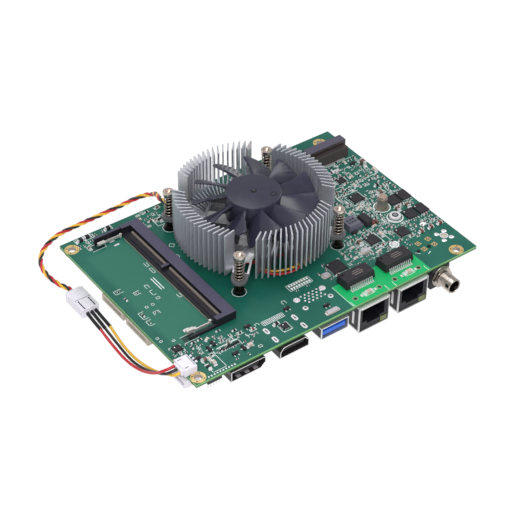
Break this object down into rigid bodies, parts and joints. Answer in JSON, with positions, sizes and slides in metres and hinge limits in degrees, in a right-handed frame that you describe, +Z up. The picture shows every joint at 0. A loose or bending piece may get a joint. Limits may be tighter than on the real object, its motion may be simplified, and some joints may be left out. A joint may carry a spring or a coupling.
{
  "type": "single board computer",
  "caption": "Board with a spring-screwed radial cooler and fan, memory and card sockets, ports under its front edge and a fan lead round the left side.",
  "frame": {"origin": "centre of the four mounting holes, on the board's underside", "axes": "+X along the port edge, +Y away from the ports, +Z up out of the component side"},
  "size_m": [0.1548, 0.1383, 0.0413],
  "materials": {
    "solder_mask": "satin green solder mask over glass-epoxy laminate",
    "chip_plastic": "matt moulded epoxy",
    "thermal_pad": "soft silicone",
    "heatsink_aluminium": "machined and polished",
    "black_steel": "black coated",
    "nickel_plate": "bright nickel plate",
    "spring_steel": "bright wire",
    "fan_black": "satin",
    "copper_winding": "enamelled copper",
    "bearing_brass": "plain",
    "fan_plastic": "glossy moulded",
    "magnet_ferrite": "matt",
    "polished_steel": "ground",
    "lead_bundle": "twisted insulated wires",
    "white_nylon": "natural nylon",
    "sleeve_black": "heat-shrink sleeve",
    "wire_red": "smooth insulation",
    "wire_black": "smooth insulation",
    "wire_yellow": "smooth insulation",
    "socket_plastic": "matt moulded",
    "contact_gold": "gold flash",
    "latch_metal": "stamped",
    "khaki_nickel": "dull nickel plate",
    "coppery_screw": "plated",
    "shell_steel": "bright tin plate",
    "black_plastic": "moulded",
    "blue_plastic": "moulded",
    "tan_plastic": "moulded",
    "inductor_grey": "pressed powder",
    "crystal_can": "nickel lid",
    "ceramic_brown": "ceramic",
    "silkscreen_white": "printed ink",
    "solder_tin": "reflowed solder"
  },
  "bodies": {
    "board": {"circuit_board": "solder_mask", "processor": "chip_plastic", "thermal_pad": "thermal_pad", "heatsink": "heatsink_aluminium", "heatsink_fins": "heatsink_aluminium", "cooler_backplate": "black_steel", "fan_base": "fan_black", "fan_stator": "copper_winding", "fan_bearing": "bearing_brass", "fan_lead_inner": "lead_bundle", "fan_lead": "lead_bundle", "inline_plug": "white_nylon", "inline_socket": "white_nylon", "wire_sleeves": "sleeve_black", "wire_red": "wire_red", "wire_black": "wire_black", "wire_yellow": "wire_yellow", "header_plug": "white_nylon", "fan_header": "white_nylon", "memory_socket": "socket_plastic", "memory_contacts": "contact_gold", "card_socket": "socket_plastic", "card_contacts": "contact_gold", "card_standoff": "khaki_nickel", "card_standoff_screw": "coppery_screw", "card_nut": "nickel_plate", "lan_port_left": "shell_steel", "lan_port_right": "shell_steel", "lan_inserts": "black_plastic", "display_port_shell": "shell_steel", "display_port_insert": "black_plastic", "hdmi_shell": "shell_steel", "hdmi_insert": "black_plastic", "usb_shell": "shell_steel", "usb_tongue": "blue_plastic", "power_jack_body": "black_plastic", "power_jack_barrel": "nickel_plate", "power_jack_nut": "nickel_plate", "edge_connectors": "tan_plastic", "edge_connector_white": "white_nylon", "pin_header": "black_plastic", "lan_transformers": "chip_plastic", "integrated_circuits": "chip_plastic", "power_inductors": "inductor_grey", "power_transistors": "chip_plastic", "crystals": "crystal_can", "chip_passives": "ceramic_brown", "cooler_spring_front_left": "spring_steel", "cooler_spring_front_right": "spring_steel", "cooler_spring_back_left": "spring_steel", "cooler_spring_back_right": "spring_steel"},
    "fan": {"fan_rotor": "fan_plastic", "fan_magnet": "magnet_ferrite", "fan_shaft": "polished_steel"},
    "screw_front_left": {"cooler_screw_front_left": "nickel_plate"},
    "screw_front_right": {"cooler_screw_front_right": "nickel_plate"},
    "screw_back_left": {"cooler_screw_back_left": "nickel_plate"},
    "screw_back_right": {"cooler_screw_back_right": "nickel_plate"},
    "latch_front": {"memory_latch_front": "latch_metal"},
    "latch_back": {"memory_latch_back": "latch_metal"}
  },
  "joints": [
    {"name": "fan_spin", "type": "hinge", "parent": "board", "child": "fan", "pos_m": [0.0013, 0.01005, 0.0216], "axis": [0, 0, 1], "continuous": true},
    {"name": "screw_front_left_lift", "type": "slide", "parent": "board", "child": "screw_front_left", "axis": [0, 0, 1], "range_m": [0, 0.0035], "deforming": ["cooler_spring_front_left"]},
    {"name": "screw_front_right_lift", "type": "slide", "parent": "board", "child": "screw_front_right", "axis": [0, 0, 1], "range_m": [0, 0.0035], "deforming": ["cooler_spring_front_right"]},
    {"name": "screw_back_left_lift", "type": "slide", "parent": "board", "child": "screw_back_left", "axis": [0, 0, 1], "range_m": [0, 0.0035], "deforming": ["cooler_spring_back_left"]},
    {"name": "screw_back_right_lift", "type": "slide", "parent": "board", "child": "screw_back_right", "axis": [0, 0, 1], "range_m": [0, 0.0035], "deforming": ["cooler_spring_back_right"]},
    {"name": "latch_front_flex", "type": "hinge", "parent": "board", "child": "latch_front", "pos_m": [-0.0459, -0.02525, 0.0036], "axis": [0, 0, 1], "range_deg": [0, 6], "stiffness_Nm_per_rad": 0.02},
    {"name": "latch_back_flex", "type": "hinge", "parent": "board", "child": "latch_back", "pos_m": [-0.0459, 0.04235, 0.0036], "axis": [0, 0, -1], "range_deg": [0, 6], "stiffness_Nm_per_rad": 0.02}
  ]
}
